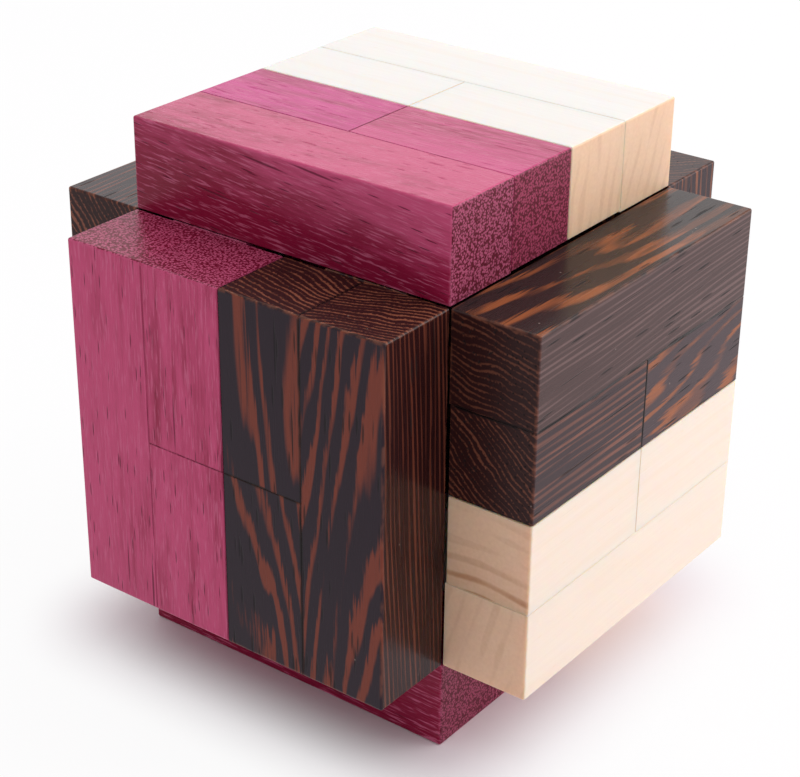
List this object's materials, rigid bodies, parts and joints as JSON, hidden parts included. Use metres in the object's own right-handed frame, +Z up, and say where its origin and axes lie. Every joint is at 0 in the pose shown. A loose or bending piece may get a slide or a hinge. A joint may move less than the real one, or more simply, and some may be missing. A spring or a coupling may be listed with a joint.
{
  "type": "interlocking burr puzzle",
  "caption": "Interlocking wooden burr puzzle: pieces glued up from square bars of contrasting woods thread through a cube and slide outwards before it comes apart.",
  "frame": {"origin": "centre of the bottom plate's outer face, on the surface the puzzle stands on", "axes": "+Z up; -Y towards the front plate, whose bars stand upright; +X towards the right plate"},
  "size_m": [0.0722, 0.0722, 0.0722],
  "materials": {
    "purpleheart": "satin oil",
    "wenge": "satin oil",
    "maple": "satin oil"
  },
  "bodies": {
    "lower_piece": {"lower_piece_left_back_bar": "maple", "lower_piece_left_back_block": "maple", "lower_piece_left_front_bar": "maple", "lower_piece_left_front_block": "maple", "lower_piece_left_long_bar": "maple", "lower_piece_right_back_bar": "maple", "lower_piece_right_back_block": "maple", "lower_piece_right_front_bar": "maple", "lower_piece_right_front_block": "maple", "lower_piece_right_long_bar": "maple", "lower_piece_spine": "maple"},
    "upper_piece": {"upper_piece_left_back_bar": "wenge", "upper_piece_left_back_block": "wenge", "upper_piece_left_front_bar": "wenge", "upper_piece_left_front_block": "wenge", "upper_piece_left_long_bar": "wenge", "upper_piece_right_back_bar": "wenge", "upper_piece_right_back_block": "wenge", "upper_piece_right_front_bar": "wenge", "upper_piece_right_front_block": "wenge", "upper_piece_right_long_bar": "wenge", "upper_piece_spine": "wenge"},
    "front_piece": {"front_piece_bottom_left_bar": "purpleheart", "front_piece_bottom_long_bar": "purpleheart", "front_piece_bottom_right_bar": "purpleheart", "front_piece_spine": "purpleheart", "front_piece_top_left_bar": "purpleheart", "front_piece_top_long_bar": "purpleheart", "front_piece_top_right_bar": "purpleheart"},
    "back_piece": {"back_piece_bottom_left_bar": "maple", "back_piece_bottom_long_bar": "maple", "back_piece_bottom_right_bar": "maple", "back_piece_spine": "maple", "back_piece_top_left_bar": "maple", "back_piece_top_long_bar": "maple", "back_piece_top_right_bar": "maple"},
    "left_piece": {"left_piece_back_long_bar": "purpleheart", "left_piece_back_lower_bar": "purpleheart", "left_piece_back_lower_post": "purpleheart", "left_piece_back_upper_bar": "purpleheart", "left_piece_back_upper_post": "purpleheart", "left_piece_front_long_bar": "purpleheart", "left_piece_front_lower_bar": "purpleheart", "left_piece_front_lower_post": "purpleheart", "left_piece_front_upper_bar": "purpleheart", "left_piece_front_upper_post": "purpleheart", "left_piece_spine": "purpleheart"},
    "right_piece": {"right_piece_back_long_bar": "wenge", "right_piece_back_lower_bar": "wenge", "right_piece_back_lower_post": "wenge", "right_piece_back_upper_bar": "wenge", "right_piece_back_upper_post": "wenge", "right_piece_front_long_bar": "wenge", "right_piece_front_lower_bar": "wenge", "right_piece_front_lower_post": "wenge", "right_piece_front_upper_bar": "wenge", "right_piece_front_upper_post": "wenge", "right_piece_spine": "wenge"}
  },
  "joints": [
    {"name": "upper_slide", "type": "slide", "parent": "lower_piece", "child": "upper_piece", "axis": [0, 0, 1], "range_m": [0, 0.006]},
    {"name": "front_slide", "type": "slide", "parent": "lower_piece", "child": "front_piece", "axis": [0, -1, 0], "range_m": [0, 0.006]},
    {"name": "back_slide", "type": "slide", "parent": "lower_piece", "child": "back_piece", "axis": [0, 1, 0], "range_m": [0, 0.006]},
    {"name": "left_slide", "type": "slide", "parent": "lower_piece", "child": "left_piece", "axis": [-1, 0, 0], "range_m": [0, 0.006]},
    {"name": "right_slide", "type": "slide", "parent": "lower_piece", "child": "right_piece", "axis": [1, 0, 0], "range_m": [0, 0.006]}
  ]
}
